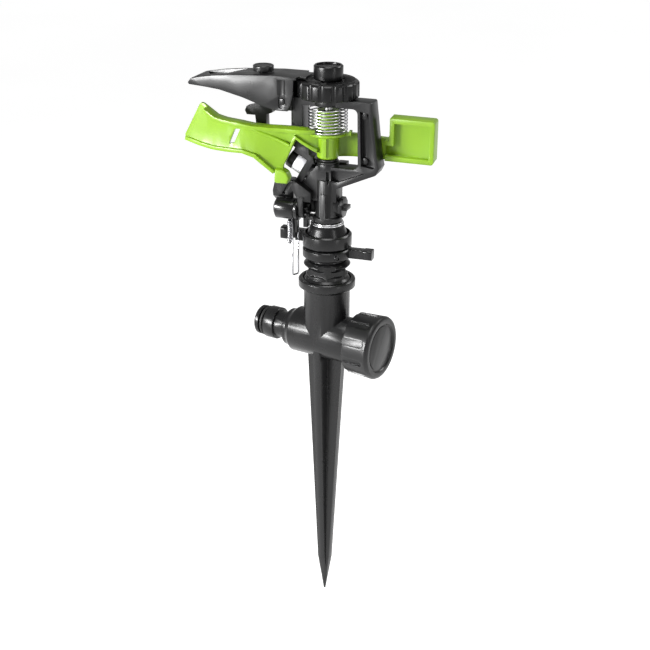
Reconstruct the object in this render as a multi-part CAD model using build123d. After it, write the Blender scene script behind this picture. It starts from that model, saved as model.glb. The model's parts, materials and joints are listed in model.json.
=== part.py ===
from build123d import *
import os
from math import cos, radians, sin

# Impact sprinkler on a ground spike. A tee with a hose connector and a screwed end cap carries a
# turning head with a nozzle, a sprung drive arm, a range dial with its diffuser flap, and a trip
# lever that reverses the head between two stop collars.
# Millimetres. Origin on the riser axis at ground level, +Z up, +X along the tee towards the end cap.

os.makedirs("parts", exist_ok=True)

# ---------------------------------------------------------------- driving dimensions
HEAD_YAW = 12.0            # how far the head stands turned about the riser
ARM_YAW = 16.0             # how far the drive arm stands turned, resting on the bridge
UPPER_FINGER_ANGLE = 191.0
LOWER_FINGER_ANGLE = 15.0
RUN = 0.06                 # radial clearance of a running fit
GAP = 0.35                 # clearance between moving pieces that don't guide each other

PIPE_Z, PIPE_R, PIPE_BORE_R = 12.0, 12.3, 7.4
RISER_R, RISER_BORE_R = 12.25, 8.2
COLLAR_R, COLLAR_TOP_Z, COLLAR_SEAT_Z = 15.0, 45.5, 43.0
SHOULDER_R, SHOULDER_X0, SHOULDER_X1 = 8.75, -36.0, -29.5
CONNECTOR_END_X = -42.0
SPIKE_TOP_HALF, SPIKE_LOW_HALF, BLADE = 10.6, 3.5, 3.7
SPIKE_LOW_Z, SPIKE_TIP_Z = -128.0, -149.7

KNOB_R, KNOB_X0, KNOB_X1 = 17.0, 18.0, 34.0
SPIGOT_R, SPIGOT_END_X, SEAL_END_X = 10.6, 28.5, 30.1
KNOB_SLOTS, SLOT_HALF = 10, 1.75

STEM_R, STEM_BORE_R, STEM_Z0, SOCKET_TOP_Z = 5.0, 3.8, 28.0, 81.4
NIPPLE_R, NIPPLE_Z0, NIPPLE_TOP_Z = 9.6, 33.4, 67.3
HEX_Z0, HEX_HALF = 44.6, 9.6
STOP_R = 12.8
LOWER_COLLAR_Z = (57.0, 62.6)
UPPER_COLLAR_Z = (63.0, 70.5)

FLANGE_Z0, FLANGE_Z1, HEAD_RISER_R = 76.5, 79.5, 6.35
BARREL_Z, BARREL_R, BARREL_BORE_R, NOZZLE_TILT = 97.1, 5.0, 3.6, 30.0
NOZZLE_S0, NOZZLE_S1, NOZZLE_END_S = 14.0, 19.4, 23.2
BRIDGE_HALF, WEB_HALF = 5.0, 1.8
BAR_LEFT_OUT, BAR_LEFT_IN, BAR_RIGHT_IN = -17.8, -12.0, 16.9
SILL_Z, BOSS_Z, LINTEL_Z0, LINTEL_Z1 = 106.2, 107.3, 136.8, 140.6
PIN_R, SPINDLE_R = 2.0, 4.0

DRUM_Y, DRUM_Z, DRUM_R = -4.5, 82.3, 5.6
DRUM_X0, DRUM_X1, EAR_X1, TRIP_PIN_R = -26.9, -13.6, -10.4, 1.6
FLAP_PIVOT_X, FLAP_PIVOT_Z, FLAP_PIN_R = -21.3, 138.4, 1.5
FLAP_HALF, CHEEK = 9.5, 1.6
JET_SCREW_X = -34.6
DIAL_R, DIAL_Z0, DIAL_Z1 = 15.5, 141.0, 149.2
RAMP_RISE, RAMP_SECTORS = 1.0, 27
CAP_R, CAP_Z0, CAP_TOP_Z = 7.4, 149.8, 157.0

HUB_R, HUB_Z0, SEAT_R, SEAT_Z0, SEAT_Z1, POST_R, POST_TOP_Z = 5.6, 110.0, 9.8, 121.9, 123.3, 5.5, 134.2
BUSH_R = 2.9
ARM_SHEET = 2.0


# ---------------------------------------------------------------- helpers
def tube_z(r, z0, z1, x=0.0, y=0.0):
    return Pos(x, y, z0) * Cylinder(r, z1 - z0, align=(Align.CENTER, Align.CENTER, Align.MIN))


def ring_z(r_out, r_in, z0, z1, x=0.0, y=0.0):
    return tube_z(r_out, z0, z1, x, y) - tube_z(r_in, z0 - 1, z1 + 1, x, y)


def tube_x(r, x0, x1, y=0.0, z=PIPE_Z):
    lying = Cylinder(r, x1 - x0, align=(Align.CENTER, Align.CENTER, Align.MIN))
    return Pos(x0, y, z) * Rot(0, 90, 0) * lying


def tube_y(r, y0, y1, x, z):
    lying = Cylinder(r, y1 - y0, align=(Align.CENTER, Align.CENTER, Align.MIN))
    return Pos(x, y0, z) * Rot(-90, 0, 0) * lying


def block(x0, x1, y0, y1, z0, z1):
    return Pos(x0, y0, z0) * Box(x1 - x0, y1 - y0, z1 - z0, align=Align.MIN)


def plate_xz(points, y0, y1):
    """A closed outline of (x, z) points, standing upright from y0 to y1."""
    face = make_face(Polyline(*[(x, 0, z) for x, z in points], close=True))
    return Pos(0, y0, 0) * extrude(face, amount=y1 - y0, dir=(0, 1, 0))


def plate_xy(points, z0, z1):
    """A closed outline of (x, y) points, lying flat from z0 to z1."""
    face = make_face(Polyline(*[(x, y, 0) for x, y in points], close=True))
    return Pos(0, 0, z0) * extrude(face, amount=z1 - z0, dir=(0, 0, 1))


def turned(points):
    """A closed outline of (radius, height) points, turned about Z."""
    face = make_face(Polyline(*[(r, 0, z) for r, z in points], close=True))
    return revolve(face, axis=Axis.Z)


def lying_x(shape, y=0.0, z=PIPE_Z):
    """Lays a piece made about Z along X, so that its heights become places along X."""
    return Pos(0, y, z) * Rot(0, 90, 0) * shape


def along_nozzle(shape):
    """Lays a piece made about Z along the nozzle's axis, which climbs to the left."""
    return Pos(0, 0, BARREL_Z) * Rot(0, NOZZLE_TILT - 90, 0) * shape


def nozzle_point(s, t):
    """The point s along the nozzle's axis and t above it, as (x, z)."""
    run, rise = cos(radians(NOZZLE_TILT)), sin(radians(NOZZLE_TILT))
    return (-s * run + t * rise, BARREL_Z + s * rise + t * run)


def coil(radius, wire, pitch, z0, turns):
    """Spring wire wound about Z, with its first turn's centre line starting at z0."""
    path = Pos(0, 0, z0) * Helix(pitch, pitch * turns, radius)
    section = Plane(origin=path @ 0, z_dir=path % 0) * Circle(wire / 2)
    return sweep(section, path=path, is_frenet=True)


def soften(shape, edges, radius):
    """Rounds edges by the largest of three radii that the shape can take."""
    for r in (radius, radius * 0.6, radius * 0.3):
        try:
            rounded = fillet(edges, r)
            if rounded.is_valid and rounded.volume > 0:
                return rounded
        except Exception:
            continue
    print("not rounded", radius)
    return shape


def keep(name, shape, yaw=0.0):
    shape = Rot(0, 0, yaw) * shape
    solids = shape.solids()
    export_step(solids[0] if len(solids) == 1 else Compound(children=list(solids)), f"parts/{name}.step")


# ---------------------------------------------------------------- base: tee with spike
def spike_tee():
    pipe = lying_x(turned([
        (0, CONNECTOR_END_X), (7.4, CONNECTOR_END_X), (8.0, -41.4), (8.0, -39.4), (6.4, -39.4),
        (6.4, SHOULDER_X0), (8.4, SHOULDER_X0), (SHOULDER_R, -35.7), (SHOULDER_R, -29.8), (8.4, SHOULDER_X1),
        (7.3, SHOULDER_X1), (7.3, -23.0), (9.6, -23.0), (10.1, -22.4), (10.1, -20.6), (PIPE_R, -17.5),
        (PIPE_R, 17.4), (SPIGOT_R, 17.4), (SPIGOT_R, SPIGOT_END_X - 1), (SPIGOT_R - 1, SPIGOT_END_X),
        (0, SPIGOT_END_X)]))
    riser = turned([
        (0, PIPE_Z), (RISER_R, PIPE_Z), (RISER_R, 39.3), (13.2, 39.9), (COLLAR_R, 41.2),
        (COLLAR_R, COLLAR_TOP_Z - 0.7), (COLLAR_R - 0.7, COLLAR_TOP_Z), (0, COLLAR_TOP_Z)])
    body = pipe + riser
    spike_room = turned([(0, SPIKE_TIP_Z), (0.5, SPIKE_TIP_Z), (3.9, SPIKE_LOW_Z), (30, 40), (0, 40)])
    for turn in (0, 90):
        blade = plate_xz([
            (-SPIKE_TOP_HALF, 9.0), (-SPIKE_TOP_HALF, 0), (-SPIKE_LOW_HALF, SPIKE_LOW_Z),
            (-0.5, SPIKE_TIP_Z), (0.5, SPIKE_TIP_Z), (SPIKE_LOW_HALF, SPIKE_LOW_Z),
            (SPIKE_TOP_HALF, 0), (SPIKE_TOP_HALF, 9.0)], -BLADE / 2, BLADE / 2)
        body += Rot(0, 0, turn) * blade & spike_room
    body -= tube_x(5.2, CONNECTOR_END_X - 1, -15)
    body -= tube_x(PIPE_BORE_R, -16, SPIGOT_END_X + 1)
    body -= tube_z(RISER_BORE_R, PIPE_Z, 40)
    body -= tube_z(10.2, NIPPLE_Z0 - 0.1, COLLAR_SEAT_Z + 1)
    body -= tube_z(12.7, COLLAR_SEAT_Z, COLLAR_TOP_Z + 1)
    return body


def riser_bearing():
    hexagon = Pos(0, 0, HEX_Z0) * extrude(RegularPolygon(HEX_HALF, 6, major_radius=False), amount=6.6)
    turned_body = turned([
        (0, NIPPLE_Z0), (9.4, NIPPLE_Z0), (10.15, NIPPLE_Z0 + 0.8), (10.15, COLLAR_SEAT_Z + 0.2),
        (9.6, COLLAR_SEAT_Z + 0.2), (9.6, HEX_Z0), (12.35, HEX_Z0), (12.35, HEX_Z0 + 0.4), (10.9, HEX_Z0 + 1.8),
        (10.9, 47.7), (10.6, 48.1),
        (9.3, 48.3), (9.3, 50.4), (12.0, 52.9), (12.3, 53.4), (12.0, 53.9), (10.4, 55.4),
        (NIPPLE_R, 55.6), (NIPPLE_R, NIPPLE_TOP_Z - 0.4), (NIPPLE_R - 0.4, NIPPLE_TOP_Z), (0, NIPPLE_TOP_Z)])
    notch = Rot(0, 0, -58) * block(10.6, 14.0, -4.4, 4.4, 50.8, 55.4)
    lug = Rot(0, 0, -58) * block(9.0, 11.6, -1.8, 1.8, 50.2, 54.8)
    return hexagon + (turned_body - notch) + lug - tube_z(STEM_R + RUN, NIPPLE_Z0 - 1, NIPPLE_TOP_Z + 1)


keep("spike_tee", spike_tee())
keep("inlet_o_ring", lying_x(Pos(0, 0, -37.7) * Torus(7.3, 0.88)))
keep("riser_gasket", ring_z(12.3, 10.4, COLLAR_SEAT_Z, HEX_Z0))
keep("riser_bearing", riser_bearing())


# ---------------------------------------------------------------- end cap on the tee's open end
def end_cap():
    bore_r, bore_end = SPIGOT_R + 0.3, SEAL_END_X
    cap = lying_x(turned([
        (0, bore_end), (bore_r, bore_end), (bore_r, KNOB_X0), (15.6, KNOB_X0), (16.3, KNOB_X0 + 0.8),
        (KNOB_R, KNOB_X1 - 1.6), (KNOB_R - 0.5, KNOB_X1 - 0.5), (KNOB_R - 1.6, KNOB_X1), (13.3, KNOB_X1),
        (12.7, KNOB_X1 - 0.9), (11.9, KNOB_X1 - 0.9), (11.9, KNOB_X1 - 0.5), (0, KNOB_X1 - 0.5)]))
    floor_r, slot_end = KNOB_R - 1.5, KNOB_X0 + 11.0
    for i in range(KNOB_SLOTS):
        slot = block(KNOB_X0 - 1, slot_end, -SLOT_HALF, SLOT_HALF, floor_r, KNOB_R + 2)
        slot += tube_z(SLOT_HALF, floor_r, KNOB_R + 2, slot_end)
        cap -= Pos(0, 0, PIPE_Z) * Rot(360 / KNOB_SLOTS * i + 31, 0, 0) * slot
    return cap


keep("end_cap", end_cap())
keep("end_cap_seal", lying_x(ring_z(10.2, PIPE_BORE_R + 0.3, SPIGOT_END_X, SEAL_END_X)))


# ---------------------------------------------------------------- stop collars on the bearing
def stop_collar(z0, z1, recess):
    ring = turned([
        (NIPPLE_R + RUN, z0), (STOP_R - 1.0, z0), (STOP_R, z0 + 0.9), (STOP_R, z1 - 0.9),
        (STOP_R - 0.9, z1), (NIPPLE_R + RUN, z1)])
    if recess:
        ring -= tube_z(STOP_R - 1.3, NIPPLE_TOP_Z - 0.5, z1 + 1)
    return ring


def upper_stop_collar():
    z0, z1 = UPPER_COLLAR_Z
    ring = stop_collar(z0, z1, True)
    root = block(12.0, 17.2, -1.9, 1.9, z0 + 1.2, z1 - 0.4)
    neck = block(17.0, 21.6, -1.2, 1.2, z0 + 2.0, z1 - 1.4)
    knob = block(21.4, 25.2, -2.9, 2.9, z0 + 1.2, z1 + 0.2)
    finger = soften(knob, knob.edges().filter_by(Axis.X), 1.3) + neck + root
    return Rot(0, 0, UPPER_FINGER_ANGLE) * (ring + finger)


def lower_stop_collar():
    z0, z1 = LOWER_COLLAR_Z
    ring = stop_collar(z0, z1, False)
    bar = block(12.0, 20.4, -2.3, 2.3, z0 + 0.7, z1 - 0.2)
    knob = block(20.2, 24.6, -3.0, 3.0, z0 + 0.5, z1 + 0.2)
    finger = soften(knob, knob.edges().filter_by(Axis.X), 1.2) + bar
    stud = Rot(0, 0, -51) * (tube_x(1.7, 12.2, 14.2, z=59.8) - tube_x(0.8, 13.2, 14.6, z=59.8))
    return Rot(0, 0, LOWER_FINGER_ANGLE) * (ring + finger + stud)


keep("upper_stop_collar", upper_stop_collar())
keep("lower_stop_collar", lower_stop_collar())


# ---------------------------------------------------------------- bearing inside the riser
def bearing_stem():
    return turned([
        (STEM_BORE_R, STEM_Z0), (7.6, STEM_Z0), (7.6, STEM_Z0 + 2), (STEM_R, STEM_Z0 + 2),
        (STEM_R, SOCKET_TOP_Z), (STEM_BORE_R, SOCKET_TOP_Z)])


def thrust_washers():
    stack = None
    for i in range(3):
        z0 = STEM_Z0 + 2.0 + 1.1 * i
        washer = ring_z(7.4, STEM_R + RUN, z0, z0 + 1.05)
        stack = washer if stack is None else stack + washer
    return stack


def dust_sleeve():
    return turned([
        (10.0, 67.7), (11.1, 67.7), (11.1, 68.5), (8.5, 74.6), (8.2, 74.9), (STEM_R + RUN, 74.9),
        (STEM_R + RUN, 73.9), (7.7, 73.9), (10.0, 68.8)])


def sleeve_rings():
    lower = ring_z(8.7, STEM_R + RUN, 74.95, 75.65)
    upper = ring_z(8.3, STEM_R + RUN, 75.75, 76.45)
    return lower + upper


keep("bearing_stem", bearing_stem(), HEAD_YAW)
keep("thrust_washers", thrust_washers(), HEAD_YAW)
keep("bearing_spring", coil(6.9, 0.9, 1.1, NIPPLE_TOP_Z + 0.9, 4.6), HEAD_YAW)
keep("dust_sleeve", dust_sleeve(), HEAD_YAW)
keep("sleeve_rings", sleeve_rings(), HEAD_YAW)


# ---------------------------------------------------------------- head body with its bridge
def bridge_frame():
    outer = plate_xz([
        (BAR_LEFT_OUT, LINTEL_Z1), (BAR_LEFT_OUT, 116.4), (-14.2, 113.4), (-4.6, SILL_Z), (-11.2, 97.6),
        (-6.35, 93.2), (-6.35, 88.0), (HEAD_RISER_R, 88.0), (HEAD_RISER_R, 95.2), (27.0, 104.3), (28.6, 107.6),
        (27.3, 113.7), (24.0, LINTEL_Z1)], -BRIDGE_HALF, BRIDGE_HALF)
    outer = soften(outer, outer.edges().filter_by(Axis.Y).sort_by(Axis.X)[-4:], 1.0)
    window = plate_xz([
        (BAR_LEFT_IN, LINTEL_Z0), (BAR_LEFT_IN, 114.0), (-6.4, 110.6), (-5.2, SILL_Z), (BAR_RIGHT_IN + 0.7, SILL_Z),
        (BAR_RIGHT_IN, LINTEL_Z0)], -BRIDGE_HALF - 1, BRIDGE_HALF + 1)
    window = soften(window, window.edges().filter_by(Axis.Y).sort_by(Axis.X)[-2:], 2.6)
    frame = outer - window
    for side in (-1, 1):
        y0, y1 = sorted((side * WEB_HALF, side * (BRIDGE_HALF + 1)))
        bar_pocket = plate_xz([(19.2, 108.4), (25.6, 107.4), (26.4, 109.0), (22.6, 135.0), (18.2, 136.0)], y0, y1)
        sill_pocket = plate_xz([(3.4, 104.7), (21.4, 104.7), (7.6, 98.9), (3.4, 98.3)], y0, y1)
        frame -= bar_pocket + sill_pocket
        b0, b1 = sorted((side * WEB_HALF, side * (WEB_HALF + 1.6)))
        frame += tube_y(1.7, b0, b1, 20.6, 110.6) + tube_y(1.7, b0, b1, 19.9, 133.6)
    return frame


def nozzle_seat():
    """The flange behind the nozzle and the block over it, which carries the bridge's left bar."""
    flange = plate_xz([nozzle_point(10.6, -6.4), nozzle_point(10.6, 6.4), nozzle_point(NOZZLE_S0, 8.6),
                       nozzle_point(NOZZLE_S0, -6.4)], -BRIDGE_HALF, BRIDGE_HALF)
    roof = plate_xz([nozzle_point(12.0, 5.3), nozzle_point(16.6, 11.4), nozzle_point(22.6, 11.4),
                     nozzle_point(22.6, 5.3)], -BRIDGE_HALF, BRIDGE_HALF)
    return flange + roof


def head_body():
    body = turned([
        (0, FLANGE_Z0), (7.2, FLANGE_Z0), (7.6, FLANGE_Z0 + 0.4), (7.6, FLANGE_Z1 - 0.5),
        (7.1, FLANGE_Z1), (HEAD_RISER_R, FLANGE_Z1), (HEAD_RISER_R, 99.0), (0, 99.0)])
    body += bridge_frame()
    body += nozzle_seat()
    body += along_nozzle(tube_z(BARREL_R, -2.0, 12.0))
    body += tube_z(6.0, SILL_Z - 2, BOSS_Z)
    body += tube_z(SPINDLE_R, LINTEL_Z1 - 1, CAP_Z0 + 2.2)
    body += tube_z(7.4, LINTEL_Z0 + 0.2, LINTEL_Z1 - 0.2)
    body += block(-26.0, BAR_LEFT_OUT + 1, -7.4, 7.4, 134.0, 140.2)
    body += tube_x(4.4, 3.0, 6.6, z=84.6)
    body += block(-12.2, -6.0, -3.0, 1.0, 76.6, 79.0)
    body += block(-12.2, -9.9, -3.0, 1.0, 72.4, 78.8)
    body += block(-1.4, 1.4, -7.3, -5.0, 79.0, 92.0)
    body -= tube_z(STEM_R, FLANGE_Z0 - 1, SOCKET_TOP_Z)
    body -= tube_z(STEM_BORE_R, SOCKET_TOP_Z - 1, BARREL_Z - 1)
    body -= tube_z(HUB_R + 0.7, BOSS_Z, LINTEL_Z0 - 1)
    body -= along_nozzle(tube_z(BARREL_BORE_R, 0.0, NOZZLE_S0 + 1))
    body -= tube_x(2.6, 2.0, 8.0, z=84.6)
    body -= tube_z(PIN_R, 103.0, CAP_Z0 + 0.2)
    body -= tube_y(FLAP_PIN_R + 0.01, -8, 8, FLAP_PIVOT_X, FLAP_PIVOT_Z)
    body -= block(0.9, 2.4, -BRIDGE_HALF - 1, -BRIDGE_HALF + 1.6, 97.0, 103.6)
    body += block(4.0, 8.6, 3.4, 8.2, 103.4, 107.0) - tube_z(PIN_R, 100, 110)
    return body


def nozzle():
    return along_nozzle(turned([
        (3.0, 9.0), (BARREL_BORE_R - 0.05, 9.0), (BARREL_BORE_R - 0.05, NOZZLE_S0), (4.95, NOZZLE_S0),
        (4.95, NOZZLE_S1), (4.1, NOZZLE_S1), (4.1, NOZZLE_END_S + 0.3), (1.9, NOZZLE_END_S + 0.3),
        (1.9, NOZZLE_S1), (3.0, 12.0)]))


def nozzle_ring():
    ring = turned([
        (4.15, NOZZLE_S1), (5.1, NOZZLE_S1), (5.1, NOZZLE_END_S - 0.4), (4.7, NOZZLE_END_S),
        (4.15, NOZZLE_END_S)])
    return along_nozzle(ring)


def stream_straightener():
    vane = block(-3.5, 3.5, -0.35, 0.35, 1.5, 8.5)
    return along_nozzle(vane + Rot(0, 0, 90) * vane)


def rear_plug():
    head = Rot(0, 0, 22.5) * extrude(RegularPolygon(5.1, 8, major_radius=False), amount=2.2)
    grip = block(-1.0, 1.0, -3.2, 3.2, 2.2, 4.4)
    shank = tube_z(2.55, -3.2, 0.1)
    return lying_x(Pos(0, 0, 7.1) * (head + grip + shank), z=84.6)


keep("head_body", head_body(), HEAD_YAW)
keep("nozzle", nozzle(), HEAD_YAW)
keep("nozzle_ring", nozzle_ring(), HEAD_YAW)
keep("stream_straightener", stream_straightener(), HEAD_YAW)
keep("rear_plug", rear_plug(), HEAD_YAW)
keep("rear_plug_seal", lying_x(ring_z(4.2, 2.6, 6.6, 7.1), z=84.6), HEAD_YAW)


# ---------------------------------------------------------------- drive arm on its pin
def arm_sheet(points, thick, z0, z1):
    """A wall that follows a smooth plan curve of (x, y) points."""
    front = Spline(*[(x, y - thick / 2, 0) for x, y in points])
    back = Spline(*[(x, y + thick / 2, 0) for x, y in points])
    face = make_face([front, Line(front @ 1, back @ 1), back, Line(back @ 0, front @ 0)])
    return Pos(0, 0, z0) * extrude(face, amount=z1 - z0, dir=(0, 0, 1))


LEFT_PLAN = [(-1.5, -1.0), (-6.0, -4.6), (-11.0, -6.2), (-18.0, -6.4), (-30.0, -8.2), (-44.0, -9.0),
             (-58.0, -6.6), (-76.0, -1.0)]
RIGHT_PLAN = [(1.5, 1.0), (7.0, 4.6), (12.0, 6.2), (18.0, 6.4), (28.0, 6.4), (36.0, 6.4)]


def spoon_wing():
    """The jet's vane, with its rims, on the left of the hub."""
    outline = [(-0.5, 126.0), (-26.7, 126.6), (-35.7, 127.2), (-42.0, 128.2), (-50.9, 129.0), (-55.5, 129.9),
               (-61.6, 133.4), (-64.0, 134.6), (-65.4, 134.7), (-66.4, 133.8), (-76.6, 116.0), (-76.6, 115.0),
               (-75.6, 114.5), (-67.2, 112.9), (-58.8, 111.9), (-50.0, 111.8), (-42.0, 111.9), (-35.8, 110.0),
               (-26.0, 102.0), (-21.6, 101.0), (-21.3, 106.0), (-16.6, 116.0), (-14.4, 120.6), (-5.0, 114.2),
               (-0.5, 114.0)]
    wall = arm_sheet(LEFT_PLAN, ARM_SHEET, 95, 140) & plate_xz(outline, -20, 10)
    deep = arm_sheet([(x, y - 3.2) for x, y in LEFT_PLAN], 7.4, 95, 140)
    upper_band = plate_xz([
        (-4.0, 126.0), (-26.7, 126.6), (-35.7, 127.2), (-42.0, 128.2), (-50.9, 129.0), (-55.5, 129.9),
        (-61.6, 133.4), (-62.2, 131.8), (-56.2, 128.1), (-50.9, 127.1), (-42.0, 126.4), (-35.7, 125.4),
        (-26.7, 124.8), (-4.0, 124.3)], -20, 10)
    lower_band = plate_xz([
        (-4.0, 113.4), (-5.0, 114.2), (-14.4, 120.6), (-16.6, 116.0), (-17.8, 116.6), (-15.0, 122.4),
        (-4.0, 115.4)], -20, 10)
    low_rim = plate_xz([
        (-75.6, 114.5), (-67.2, 112.9), (-58.8, 111.9), (-50.0, 111.8), (-42.0, 111.9), (-35.8, 110.0),
        (-26.0, 102.0), (-25.0, 103.2), (-35.0, 111.8), (-41.8, 113.6), (-58.6, 113.7), (-66.8, 114.7),
        (-75.2, 116.2)], -20, 10)
    slim = arm_sheet([(x, y - 1.2) for x, y in LEFT_PLAN], 3.6, 95, 140)
    wing = wall + (deep & upper_band) + (slim & lower_band) + (slim & low_rim)
    wing -= tube_z(SEAT_R + 0.7, SEAT_Z1 + 0.3, 140)
    slot = plate_xz([(-46.0, 123.8), (-43.2, 123.8), (-46.6, 116.4), (-49.6, 115.6)], -20, 10)
    return wing - slot


def foot_lug():
    lug = plate_xz([(-25.0, 98.4), (-24.2, 97.6), (-18.2, 97.6), (-17.2, 100.6), (-18.4, 103.2), (-20.6, 104.6),
                    (-24.6, 104.8)], -12.0, -6.2)
    return soften(lug, lug.edges().group_by(Axis.Y)[0], 1.0)


def counterweight():
    x0, x1, z0, z1 = 31.4, 54.0, 109.8, 131.8
    outline = [(29.2, 110.2), (29.2, 120.6), (x0, 120.2), (x0, z1), (x1, z1 - 0.5), (x1, z0 - 0.2)]
    shell = plate_xz(outline, 0.8, 10.8)
    shell = soften(shell, shell.edges().filter_by(Axis.Y).sort_by(Axis.X)[-2:], 1.4)
    recess = plate_xz([(26.0, 112.8), (26.0, 118.2), (x0 + 2.2, 118.0), (x0 + 2.2, z1 - 2.4),
                       (x1 - 2.3, z1 - 2.8), (x1 - 2.3, z0 + 2.2)], -1.0, 4.4)
    return shell - recess


def drive_arm():
    hub = turned([
        (0, HUB_Z0), (HUB_R - 0.6, HUB_Z0), (HUB_R, HUB_Z0 + 0.7), (HUB_R, SEAT_Z0 - 1.2), (SEAT_R - 0.5, SEAT_Z0),
        (SEAT_R, SEAT_Z0 + 0.4), (SEAT_R, SEAT_Z1), (POST_R, SEAT_Z1), (POST_R, POST_TOP_Z), (0, POST_TOP_Z)])
    rib = block(-0.9, 0.9, -6.6, -4.0, HUB_Z0 + 1.2, SEAT_Z0)
    tab = block(7.0, 12.4, -1.2, 1.2, SEAT_Z0, SEAT_Z1) + block(11.2, 12.4, -1.2, 1.2, SEAT_Z0, SEAT_Z1 + 1.4)
    beam_outline = [(0.5, 110.4), (0.5, 122.6), (31.0, 120.6), (31.0, 109.9)]
    beam = arm_sheet(RIGHT_PLAN, 3.4, 100, 130) & plate_xz(beam_outline, -5, 12)
    arm = hub + rib + tab + beam + spoon_wing() + foot_lug() + counterweight()
    return arm - tube_z(BUSH_R, HUB_Z0 - 1, POST_TOP_Z + 1)


def hub_washers():
    lower = ring_z(6.0, PIN_R + RUN, BOSS_Z + 0.05, BOSS_Z + 1.1)
    upper = ring_z(5.2, PIN_R + RUN, BOSS_Z + 1.2, BOSS_Z + 2.3)
    return lower + upper


keep("fulcrum_pin", tube_z(PIN_R, 103.0, CAP_Z0 + 0.2), HEAD_YAW)
keep("hub_washers", hub_washers(), HEAD_YAW)
keep("arm_spring", Rot(0, 0, 240) * coil(9.6, 0.8, 1.62, SEAT_Z1 + 0.7, 7.4), HEAD_YAW)
keep("drive_arm", drive_arm(), ARM_YAW)
keep("arm_bush", ring_z(BUSH_R, PIN_R + RUN, HUB_Z0, POST_TOP_Z), ARM_YAW)


# ---------------------------------------------------------------- range dial and its cap
def range_dial():
    dial = turned([
        (SPINDLE_R + RUN, DIAL_Z0), (DIAL_R - 1.0, DIAL_Z0), (DIAL_R, DIAL_Z0 + 0.8), (DIAL_R, DIAL_Z1 - 0.8),
        (DIAL_R - 0.8, DIAL_Z1), (SPINDLE_R + RUN, DIAL_Z1)])
    for i in range(16):
        dial -= Rot(0, 0, 22.5 * i + 6) * tube_z(1.3, DIAL_Z0 - 1, DIAL_Z1 + 1, DIAL_R + 0.6)
    step = 270 / RAMP_SECTORS
    inner, outer = 8.4, 13.6
    for i in range(RAMP_SECTORS):
        top = DIAL_Z1 + RAMP_RISE * (i + 1) / RAMP_SECTORS
        a0, a1 = radians(step * i), radians(step * (i + 1))
        sector = plate_xy([(inner * cos(a0), inner * sin(a0)), (outer * cos(a0), outer * sin(a0)),
                           (outer * cos(a1), outer * sin(a1)), (inner * cos(a1), inner * sin(a1))],
                          DIAL_Z1 - 0.5, top)
        dial += Rot(0, 0, 195) * sector
    return dial


def top_cap():
    return turned([
        (SPINDLE_R, CAP_Z0), (CAP_R - 0.3, CAP_Z0), (CAP_R, CAP_Z0 + 0.4), (CAP_R, CAP_TOP_Z - 0.6),
        (CAP_R - 0.6, CAP_TOP_Z), (6.1, CAP_TOP_Z), (5.9, CAP_TOP_Z - 1.4), (0, CAP_TOP_Z - 1.4),
        (0, CAP_Z0 + 2.2), (SPINDLE_R, CAP_Z0 + 2.2)])


keep("dial_washer", ring_z(11.0, 8.0, LINTEL_Z1, DIAL_Z0) & block(-12, 12, -BRIDGE_HALF, BRIDGE_HALF, 140, 142),
     HEAD_YAW)
keep("range_dial", range_dial(), HEAD_YAW)
keep("top_cap", top_cap(), HEAD_YAW)
keep("cap_disc", tube_z(5.6, CAP_TOP_Z - 1.4, CAP_TOP_Z - 0.7), HEAD_YAW)


# ---------------------------------------------------------------- diffuser flap
CHEEK_OUTLINE = [(-71.6, 145.4), (-72.2, 144.4), (-71.6, 143.6), (-62.4, 142.9), (-54.8, 142.1), (-42.2, 139.1),
                 (-32.1, 135.8), (-25.1, 134.0), (-18.2, 134.0), (-16.6, 137.4), (-15.4, 142.7), (-15.1, 150.2),
                 (-26.3, 151.2), (-48.2, 150.0), (-59.1, 148.8), (-70.4, 146.8)]
ROOF_OUTLINE = [(-71.6, 145.4), (-72.2, 144.4), (-71.6, 143.8), (-70.0, 145.1), (-59.1, 147.1), (-48.2, 148.4),
                (-26.3, 149.5), (-17.0, 149.75), (-13.6, 149.75), (-13.6, 151.2), (-26.3, 151.2), (-48.2, 150.0),
                (-59.1, 148.8), (-70.4, 146.8)]


def diffuser_flap():
    flap = plate_xz(ROOF_OUTLINE, -FLAP_HALF, FLAP_HALF)
    for side in (-1, 1):
        y0, y1 = sorted((side * FLAP_HALF, side * (FLAP_HALF - CHEEK)))
        flap += plate_xz(CHEEK_OUTLINE, y0, y1)
        flap -= tube_z(2.6, 141.4, 149.4, FLAP_PIVOT_X - 0.2, side * (FLAP_HALF + 1.5))
        s0, s1 = sorted((side * (FLAP_HALF + 1), side * (FLAP_HALF - 0.7)))
        flap -= block(FLAP_PIVOT_X - 1.8, FLAP_PIVOT_X + 1.8, s0, s1, 136.9, 140.1)
        flap -= tube_y(1.8, s0, s1, FLAP_PIVOT_X, 136.9) + tube_y(1.8, s0, s1, FLAP_PIVOT_X, 140.1)
    flap += block(-14.2, -9.6, -6.0, 6.0, 149.75, 151.2)
    flap -= plate_xy([(-68.5, 7.9), (-62.5, -3.4), (-53.0, -3.4), (-45.5, 7.9)], 140, 152)
    flap -= tube_y(FLAP_PIN_R + RUN, -12, 12, FLAP_PIVOT_X, FLAP_PIVOT_Z)
    flap -= tube_z(2.0 + RUN, 144, 152, JET_SCREW_X)
    return flap


def deflector_vane():
    outline = [(-43.2, 128.9), (-44.2, 131.0), (-43.2, 133.2), (-38.0, 134.6), (-38.6, 147.8), (-29.4, 148.4),
               (-29.4, 130.8), (-32.6, 129.6), (-32.4, 119.8), (-37.6, 119.8), (-38.6, 128.9)]
    return plate_xz(outline, -2.2, 2.2) - tube_z(2.0, 147.0, 152, JET_SCREW_X)


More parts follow.
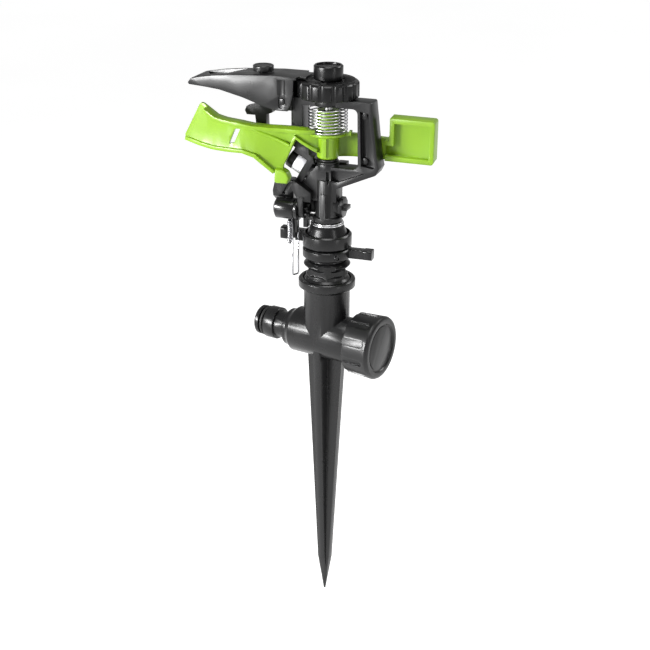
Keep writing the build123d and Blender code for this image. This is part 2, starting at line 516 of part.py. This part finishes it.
def jet_screw():
    return Pos(JET_SCREW_X, 0, 0) * turned([
        (0, 147.0), (2.0, 147.0), (2.0, 151.4), (5.0, 151.4), (5.3, 151.7), (5.3, 154.0), (4.9, 154.4), (4.3, 154.4),
        (4.0, 154.1), (0, 154.1)])


keep("diffuser_flap", diffuser_flap(), HEAD_YAW)
keep("deflector_vane", deflector_vane(), HEAD_YAW)
keep("flap_pin", tube_y(FLAP_PIN_R, -FLAP_HALF + 0.2, FLAP_HALF - 0.2, FLAP_PIVOT_X, FLAP_PIVOT_Z), HEAD_YAW)
keep("jet_screw", jet_screw(), HEAD_YAW)


# ---------------------------------------------------------------- trip lever
def trip_bracket():
    ear = tube_x(4.3, DRUM_X1 + GAP, EAR_X1, y=DRUM_Y, z=DRUM_Z)
    ear += block(DRUM_X1 + GAP, EAR_X1, DRUM_Y - 4.3, DRUM_Y + 4.3, DRUM_Z, 90.0)
    web = block(DRUM_X1 + GAP, -5.5, 1.0, 3.0, 79.6, 90.0)
    shelf = plate_xz([(-17.0, 94.4), (-17.0, 96.6), (-15.9, 98.2), (-12.4, 96.4), (-6.4, 92.6), (-6.4, 87.6),
                      (-13.2, 87.8)], -8.0, 2.0)
    shelf -= along_nozzle(block(-6.5, 6.4, -9, 9, 11.1, NOZZLE_S0 + 0.1))
    return ear + web + shelf - tube_x(TRIP_PIN_R, -20, -5, y=DRUM_Y, z=DRUM_Z) - head_body()


def trip_drum():
    drum = lying_x(turned([
        (TRIP_PIN_R + RUN, DRUM_X0), (3.6, DRUM_X0), (DRUM_R, DRUM_X0 + 1.3), (DRUM_R, DRUM_X1 - 2.2),
        (DRUM_R - 0.5, DRUM_X1 - 2.2), (DRUM_R - 0.5, DRUM_X1 - 1.5), (DRUM_R + 0.1, DRUM_X1 - 1.5),
        (DRUM_R + 0.1, DRUM_X1), (TRIP_PIN_R + RUN, DRUM_X1)]), y=DRUM_Y, z=DRUM_Z)
    bar = block(-16.9, -14.6, DRUM_Y - 0.9, DRUM_Y + 0.9, 69.8, 78.5)
    return drum + bar


def reverse_lever():
    lever = plate_xz([(-29.2, 86.0), (-29.6, 90.0), (-28.6, 94.4), (-27.2, 96.6), (-18.8, 96.6), (-18.0, 95.0),
                      (-18.0, 84.0), (-28.4, 84.0)], DRUM_Y + 2.6, DRUM_Y + 9.0)
    slot = plate_xz([(-24.4, 88.8), (-22.6, 88.8), (-19.0, 95.0), (-20.8, 95.0)], DRUM_Y + 2, DRUM_Y + 4.2)
    return lever - slot - tube_x(DRUM_R, -40, 0, y=DRUM_Y, z=DRUM_Z)


def trip_wire():
    front, back = (-16.9, -6.3), (-14.9, -3.1)
    top, low, wire = 79.2, 46.4, 0.45
    legs = tube_z(wire, low + 1.0, top, *front) + tube_z(wire, low + 1.0, top, *back)
    path = FilletPolyline((*front, low + 2.0), (*front, low), (*back, low), (*back, low + 2.0), radius=0.9)
    section = Plane(origin=path @ 0, z_dir=path % 0) * Circle(wire)
    return legs + sweep(section, path=path)


def trip_spring():
    core = tube_z(0.95, 63.2, 78.6, -19.1, DRUM_Y)
    return core + Pos(-19.1, DRUM_Y, 0) * coil(1.15, 0.5, 0.82, 64.0, 14)


drum_bodies = {"trip_drum": trip_drum(), "trip_wire": trip_wire(), "trip_spring": trip_spring()}
for name in ("trip_wire", "trip_spring"):
    drum_bodies["trip_drum"] -= drum_bodies[name]
keep("trip_bracket", trip_bracket(), HEAD_YAW)
keep("trip_pin", tube_x(TRIP_PIN_R, DRUM_X0 - 0.2, EAR_X1, y=DRUM_Y, z=DRUM_Z), HEAD_YAW)
keep("reverse_lever", reverse_lever(), HEAD_YAW)
for name, shape in drum_bodies.items():
    keep(name, shape, HEAD_YAW)


def trip_screw():
    head = Circle(1.9)
    for i in range(6):
        head += Rot(0, 0, 60 * i) * Pos(1.9, 0, 0) * Rectangle(3.4, 1.1)
    return lying_x(Pos(0, 0, EAR_X1) * extrude(head, amount=2.2), y=DRUM_Y, z=DRUM_Z)


keep("trip_screw", trip_screw(), HEAD_YAW)
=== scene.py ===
import bpy
import json
import math
from mathutils import Euler, Matrix, Vector
from mathutils.bvhtree import BVHTree


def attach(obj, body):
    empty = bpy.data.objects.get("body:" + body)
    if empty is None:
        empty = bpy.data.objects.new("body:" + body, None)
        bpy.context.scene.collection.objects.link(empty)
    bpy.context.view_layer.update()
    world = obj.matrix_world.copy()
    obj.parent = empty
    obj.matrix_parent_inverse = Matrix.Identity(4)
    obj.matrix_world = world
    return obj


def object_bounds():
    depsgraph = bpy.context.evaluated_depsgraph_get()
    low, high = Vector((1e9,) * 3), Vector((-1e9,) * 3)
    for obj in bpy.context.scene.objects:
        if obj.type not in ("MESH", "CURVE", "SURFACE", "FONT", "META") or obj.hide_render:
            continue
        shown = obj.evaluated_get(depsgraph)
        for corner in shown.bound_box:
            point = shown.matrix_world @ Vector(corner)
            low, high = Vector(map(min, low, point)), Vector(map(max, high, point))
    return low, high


# Looks for an impact sprinkler on a ground spike: moulded black and lime plastics, a white nozzle,
# and drawn or turned steel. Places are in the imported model's frame. Blender's unit is the metre,
# and a size given in millimetres is multiplied by MM.

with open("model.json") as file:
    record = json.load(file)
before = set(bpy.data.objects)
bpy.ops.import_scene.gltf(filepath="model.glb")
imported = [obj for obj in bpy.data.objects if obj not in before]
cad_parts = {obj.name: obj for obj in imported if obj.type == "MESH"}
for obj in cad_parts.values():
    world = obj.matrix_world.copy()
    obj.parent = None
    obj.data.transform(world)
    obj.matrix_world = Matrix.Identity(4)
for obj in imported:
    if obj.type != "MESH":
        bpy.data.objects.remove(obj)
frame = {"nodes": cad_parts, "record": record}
CAD_LOW, CAD_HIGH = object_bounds()
NODES = frame["nodes"]
SLOT_OF = {part["node"]: part["material_slot"] for part in frame["record"]["subparts"]}
BODY_OF = {node: body for body, nodes in frame["record"]["behaviour"]["bodies"].items() for node in nodes}
MM = 0.001

ARM_YAW = 16                # degrees by which the drive arm stands turned about the riser
WELD_DISTANCE = 0.002       # mm, joins the seams between a node's CAD faces
ROUNDING = 0.22             # mm, radius given to a moulded edge
ROUNDED_ABOVE = 24          # degrees between two faces from which their edge is rounded
EDGE_SOFTENING = 0.3        # mm, reach of the shader's softened, rubbed edges

# noise scales, in features per metre
DRIFT, SCUFFS, STAINS, BLOOM, PEEL, PATCHES, SHEEN = 45, 70, 150, 180, 260, 320, 500
DUST, DRAWN_LINES, CHALK, GRAIN = 400, 1400, 2600, 3200

WORLD_LIGHT, WORLD_SEEN = 0.36, 1.05
FLOOR_HALF, FLOOR_GLOW, FLOOR_ROUGHNESS = 12.0, 0.82, 0.9
FLOOR_PALE = (0.44, 0.44, 0.44), (0.48, 0.48, 0.48)
LIGHT_SPREAD = 75           # degrees
# name, place, what it points at, width and height in metres, watts
LIGHTS = [
    ("key", (-0.44, -0.84, 0.28), (0, 0, 0.05), 0.46, 0.20, 3.0),
    ("band", (-0.49, -0.84, 0.27), (0, 0, 0.0), 0.50, 0.12, 0.55),
    ("low", (-0.30, -0.90, -0.02), (-0.03, 0, 0.13), 0.24, 0.20, 0.16),
    ("side", (0.95, -0.25, 0.25), (0, 0, 0.05), 0.12, 0.9, 0.4),
    ("top", (0.1, -0.2, 1.0), (0, 0, 0.08), 0.5, 0.5, 0.9),
    ("rim", (0.45, 0.75, 0.8), (0, 0, 0.08), 0.4, 0.4, 0.7),
]

CAMERA_PLACE = (0.3193, -0.5268, 0.2791)
CAMERA_TILT, CAMERA_TURN, CAMERA_ROLL = 67, 31.3, 0.4       # degrees
CAMERA_LENS, CAMERA_SENSOR, CAMERA_NEAR = 69.2, 36, 0.01


# ---------------------------------------------------------------- materials
class Graph:
    """A material being built: its tree, its shader and shorthand for wiring nodes."""

    def __init__(self, name):
        self.material = bpy.data.materials.new(name)
        self.material.use_nodes = True
        self.tree = self.material.node_tree
        self.tree.nodes.clear()
        self.shader = self.add("ShaderNodeBsdfPrincipled")
        out = self.add("ShaderNodeOutputMaterial")
        self.wire(self.shader.outputs["BSDF"], out.inputs["Surface"])
        self.coords = self.add("ShaderNodeTexCoord").outputs["Object"]

    def add(self, kind, **settings):
        node = self.tree.nodes.new(kind)
        for key, value in settings.items():
            setattr(node, key, value)
        return node

    def wire(self, output, target):
        self.tree.links.new(output, target)

    def wire_shader(self, output, socket):
        self.wire(output, self.shader.inputs[socket])

    def set_shader(self, socket, value):
        self.shader.inputs[socket].default_value = value

    def noise(self, scale, detail=3.0, rough=0.5, stretch=None):
        node = self.add("ShaderNodeTexNoise")
        node.inputs["Scale"].default_value = scale
        node.inputs["Detail"].default_value = detail
        node.inputs["Roughness"].default_value = rough
        source = self.coords
        if stretch:
            mapping = self.add("ShaderNodeMapping")
            mapping.inputs["Scale"].default_value = stretch
            self.wire(source, mapping.inputs["Vector"])
            source = mapping.outputs["Vector"]
        self.wire(source, node.inputs["Vector"])
        return node.outputs["Fac"]

    def span(self, value, lo, hi, from_lo=0.3, from_hi=0.7):
        """The value moved from its own range onto lo to hi."""
        node = self.add("ShaderNodeMapRange")
        node.inputs["From Min"].default_value = from_lo
        node.inputs["From Max"].default_value = from_hi
        node.inputs["To Min"].default_value = lo
        node.inputs["To Max"].default_value = hi
        self.wire(value, node.inputs["Value"])
        return node.outputs["Result"]

    def blend(self, factor, first, second):
        """A mix of two colours, each either a tuple or another node's output."""
        node = self.add("ShaderNodeMix", data_type="RGBA")
        self.wire(factor, node.inputs["Factor"])
        colour_a, colour_b = node.inputs[6], node.inputs[7]
        for socket, colour in ((colour_a, first), (colour_b, second)):
            if isinstance(colour, tuple):
                socket.default_value = (*colour, 1)
            else:
                self.wire(colour, socket)
        return node.outputs[2]

    def times(self, first, second):
        node = self.add("ShaderNodeMath", operation="MULTIPLY")
        for socket, value in zip(node.inputs, (first, second)):
            if isinstance(value, (int, float)):
                socket.default_value = value
            else:
                self.wire(value, socket)
        return node.outputs[0]

    def bump(self, height, strength, distance, normal=None):
        node = self.add("ShaderNodeBump")
        node.inputs["Strength"].default_value = strength
        node.inputs["Distance"].default_value = distance * MM
        self.wire(height, node.inputs["Height"])
        if normal:
            self.wire(normal, node.inputs["Normal"])
        return node.outputs["Normal"]

    def edges(self, radius):
        """The softened normal, and a mask that is 1 on edges sharper than the softening."""
        soft = self.add("ShaderNodeBevel", samples=4)
        soft.inputs["Radius"].default_value = radius * MM
        flat = self.add("ShaderNodeNewGeometry")
        dot = self.add("ShaderNodeVectorMath", operation="DOT_PRODUCT")
        self.wire(soft.outputs["Normal"], dot.inputs[0])
        self.wire(flat.outputs["Normal"], dot.inputs[1])
        return soft.outputs["Normal"], self.span(dot.outputs["Value"], 1.0, 0.0, 0.90, 0.995)


def shaded(colour, factor):
    return tuple(min(1.0, channel * factor) for channel in colour)


def plastic(name, colour, rough, mottle=0.12, grain=0.10, worn=0.35, coat=0.0, specular=0.38, skin=0.0):
    """Moulded plastic: slow colour drift, a fine sparked texture, scuffs, and paler rubbed edges."""
    graph = Graph(name)
    drift = graph.span(graph.noise(DRIFT, 4), 0.0, 1.0)
    body = graph.blend(drift, shaded(colour, 1 - mottle), shaded(colour, 1 + mottle))
    soft_normal, mask = graph.edges(EDGE_SOFTENING)
    patchy = graph.span(graph.noise(PATCHES, 3), 0.15, 1.0)
    wear = graph.times(graph.times(mask, patchy), worn)
    rubbed = tuple(min(1.0, channel * 1.35 + 0.03) for channel in colour)
    graph.wire_shader(graph.blend(wear, body, rubbed), "Base Color")
    scuffs = graph.noise(SCUFFS, 5, 0.65, (1.0, 1.0, 0.35))
    graph.wire_shader(graph.span(scuffs, rough - 0.05, rough + 0.07), "Roughness")
    peel = graph.bump(graph.noise(PEEL, 2), 0.05, 0.10, soft_normal)
    graph.wire_shader(graph.bump(graph.noise(GRAIN, 2), grain, 0.05, peel), "Normal")
    graph.set_shader("Specular IOR Level", specular)
    graph.set_shader("Coat Weight", coat)
    graph.set_shader("Coat Roughness", 0.12)
    if skin:
        graph.set_shader("Subsurface Weight", skin)
        graph.set_shader("Subsurface Radius", (2 * MM, 2 * MM, 0.8 * MM))
    return graph.material


def steel(name, colour, rough, lines=(1, 1, 1)):
    """Bright drawn or turned steel: fine lines, faint staining and a tight highlight."""
    graph = Graph(name)
    stain = graph.span(graph.noise(STAINS, 4), 0.0, 1.0)
    graph.wire_shader(graph.blend(stain, shaded(colour, 0.78), colour), "Base Color")
    graph.set_shader("Metallic", 1.0)
    graph.wire_shader(graph.span(graph.noise(SHEEN, 4), rough - 0.06, rough + 0.1), "Roughness")
    graph.wire_shader(graph.bump(graph.noise(DRAWN_LINES, 2, 0.5, lines), 0.12, 0.04), "Normal")
    return graph.material


def rubber(name, colour):
    """Soft black rubber with a dusty bloom."""
    graph = Graph(name)
    bloom = graph.span(graph.noise(BLOOM, 5), 0.0, 1.0)
    graph.wire_shader(graph.blend(bloom, colour, shaded(colour, 1.7)), "Base Color")
    graph.wire_shader(graph.span(graph.noise(DUST, 3), 0.5, 0.7), "Roughness")
    graph.wire_shader(graph.bump(graph.noise(CHALK, 3), 0.15, 0.05), "Normal")
    return graph.material


LOOKS = {
    "tee_plastic": plastic("tee plastic", (0.0050, 0.0050, 0.0053), 0.26, mottle=0.25, worn=0.22),
    "cap_plastic": plastic("cap plastic", (0.0060, 0.0060, 0.0063), 0.32, mottle=0.25, grain=0.12, worn=0.25),
    "bearing_plastic": plastic("bearing plastic", (0.0040, 0.0040, 0.0043), 0.27, worn=0.2),
    "collar_plastic": plastic("collar plastic", (0.0035, 0.0035, 0.0038), 0.26, worn=0.2),
    "head_plastic": plastic("head plastic", (0.0045, 0.0045, 0.0048), 0.33, worn=0.3),
    "dial_plastic": plastic("dial plastic", (0.003, 0.003, 0.0032), 0.26, grain=0.05, worn=0.22,
                            specular=0.28),
    "flap_plastic": plastic("flap plastic", (0.008, 0.008, 0.0083), 0.30, grain=0.04, worn=0.25),
    "trip_plastic": plastic("trip plastic", (0.0035, 0.0035, 0.0038), 0.24, grain=0.05, worn=0.22, coat=0.15),
    "arm_plastic": plastic("lime plastic", (0.165, 0.300, 0.007), 0.34, mottle=0.06, worn=0.25,
                           specular=0.5, skin=0.12),
    "nozzle_plastic": plastic("white plastic", (0.70, 0.70, 0.73), 0.38, mottle=0.03, worn=0.1, specular=0.5),
    "washer_plastic": plastic("washer plastic", (0.006, 0.006, 0.006), 0.30),
    "seal_rubber": rubber("seal rubber", (0.003, 0.003, 0.003)),
    "spring_steel": steel("spring wire", (0.60, 0.60, 0.62), 0.20),
    "ring_steel": steel("turned steel", (0.60, 0.60, 0.61), 0.20, lines=(1, 1, 14)),
}


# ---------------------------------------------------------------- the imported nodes
ROUND_WIRE = {"arm_spring", "bearing_spring", "trip_wire", "trip_spring", "inlet_o_ring"}


def dress(name, node):
    """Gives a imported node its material, and rounds its edges unless it is round wire."""
    for material_slot in node.material_slots:
        material_slot.material = LOOKS[SLOT_OF[name]]
    for face in node.data.polygons:
        face.use_smooth = True
    weld = node.modifiers.new("weld", "WELD")
    weld.merge_threshold = WELD_DISTANCE * MM
    if name in ROUND_WIRE:
        return
    rounding = node.modifiers.new("rounding", "BEVEL")
    rounding.width = ROUNDING * MM
    rounding.segments = 2
    rounding.limit_method = "ANGLE"
    rounding.angle_limit = math.radians(ROUNDED_ABOVE)
    rounding.harden_normals = True


for node_name, packed_node in NODES.items():
    dress(node_name, packed_node)


# ---------------------------------------------------------------- added pieces
def turned(x, y, z, yaw):
    """A place in millimetres on axes turned about the riser by yaw degrees, as a place in the frame."""
    return Matrix.Rotation(math.radians(yaw), 3, "Z") @ Vector((x, y, z)) * MM


def face_point(node, x, z, yaw, sunk):
    """The place on a node's front face at (x, z) on turned axes, sunk in by some millimetres."""
    mesh = NODES[node].data
    tree = BVHTree.FromPolygons([v.co for v in mesh.vertices], [p.vertices[:] for p in mesh.polygons])
    inward = turned(0, 1, 0, yaw) / MM
    well_in_front = -60
    place = tree.ray_cast(turned(x, well_in_front, z, yaw), inward)[0]
    return place + inward * sunk * MM


def ridge(name, node, route, yaw, radius):
    """A moulded ridge on a node's front face: route holds (x, z, relative thickness)."""
    line = bpy.data.curves.new(name, "CURVE")
    line.dimensions = "3D"
    line.bevel_depth = radius * MM
    line.bevel_resolution = 3
    line.use_fill_caps = True
    spline = line.splines.new("NURBS")
    spline.points.add(len(route) - 1)
    for point, (x, z, thickness) in zip(spline.points, route):
        point.co = (*face_point(node, x, z, yaw, 0.45 * radius), 1)
        point.radius = thickness
    spline.use_endpoint_u = True
    spline.order_u = 4
    piece = bpy.data.objects.new(name, line)
    bpy.context.scene.collection.objects.link(piece)
    line.materials.append(LOOKS[SLOT_OF[node]])
    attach(piece, BODY_OF[node])


ARM_FOLD = [(-43.5, 125.3, 0.5), (-37.0, 124.0, 1.0), (-31.0, 122.2, 1.0), (-25.0, 119.8, 1.0),
            (-17.6, 117.0, 0.9)]
ridge("arm_fold_ridge", "drive_arm", ARM_FOLD, ARM_YAW, radius=1.0)


# ---------------------------------------------------------------- studio
def area_light(name, place, target, width, height, watts):
    light = bpy.data.lights.new(name, "AREA")
    light.energy = watts
    light.shape = "RECTANGLE"
    light.size = width
    light.size_y = height
    light.spread = math.radians(LIGHT_SPREAD)
    holder = bpy.data.objects.new(name, light)
    holder.location = place
    holder.rotation_euler = (Vector(target) - Vector(place)).to_track_quat("-Z", "Y").to_euler()
    bpy.context.scene.collection.objects.link(holder)


def make_floor():
    graph = Graph("pale floor")
    cloud = graph.span(graph.noise(3, 2), 0, 1)
    graph.wire_shader(graph.blend(cloud, *FLOOR_PALE), "Base Color")
    graph.set_shader("Roughness", FLOOR_ROUGHNESS)
    graph.set_shader("Emission Color", (1, 1, 1, 1))
    graph.set_shader("Emission Strength", FLOOR_GLOW)
    mesh = bpy.data.meshes.new("floor")
    corners = [(-1, -1), (1, -1), (1, 1), (-1, 1)]
    mesh.from_pydata([(x * FLOOR_HALF, y * FLOOR_HALF, CAD_LOW.z) for x, y in corners], [], [(0, 1, 2, 3)])
    mesh.materials.append(graph.material)
    floor = bpy.data.objects.new("floor", mesh)
    bpy.context.scene.collection.objects.link(floor)


def make_world():
    """A soft white surround, fainter as a light than as the backdrop past the floor's edge."""
    world = bpy.data.worlds.new("studio")
    world.use_nodes = True
    nodes, links = world.node_tree.nodes, world.node_tree.links
    seen = nodes.new("ShaderNodeLightPath").outputs["Is Camera Ray"]
    strength = nodes.new("ShaderNodeMapRange")
    strength.inputs["To Min"].default_value = WORLD_LIGHT
    strength.inputs["To Max"].default_value = WORLD_SEEN
    links.new(seen, strength.inputs["Value"])
    background = nodes["Background"]
    background.inputs["Color"].default_value = (1, 1, 1, 1)
    links.new(strength.outputs["Result"], background.inputs["Strength"])
    bpy.context.scene.world = world
    bpy.context.scene.view_settings.view_transform = "Standard"


def make_camera():
    lens = bpy.data.cameras.new("camera")
    lens.sensor_width = CAMERA_SENSOR
    lens.lens = CAMERA_LENS
    lens.clip_start = CAMERA_NEAR
    holder = bpy.data.objects.new("camera", lens)
    turn = Euler((math.radians(CAMERA_TILT), 0, math.radians(CAMERA_TURN))).to_matrix()
    roll = Matrix.Rotation(math.radians(CAMERA_ROLL), 3, "Z")
    holder.matrix_world = Matrix.Translation(CAMERA_PLACE) @ (turn @ roll).to_4x4()
    bpy.context.scene.collection.objects.link(holder)
    bpy.context.scene.camera = holder


make_floor()
make_world()
for light_facts in LIGHTS:
    area_light(*light_facts)
make_camera()
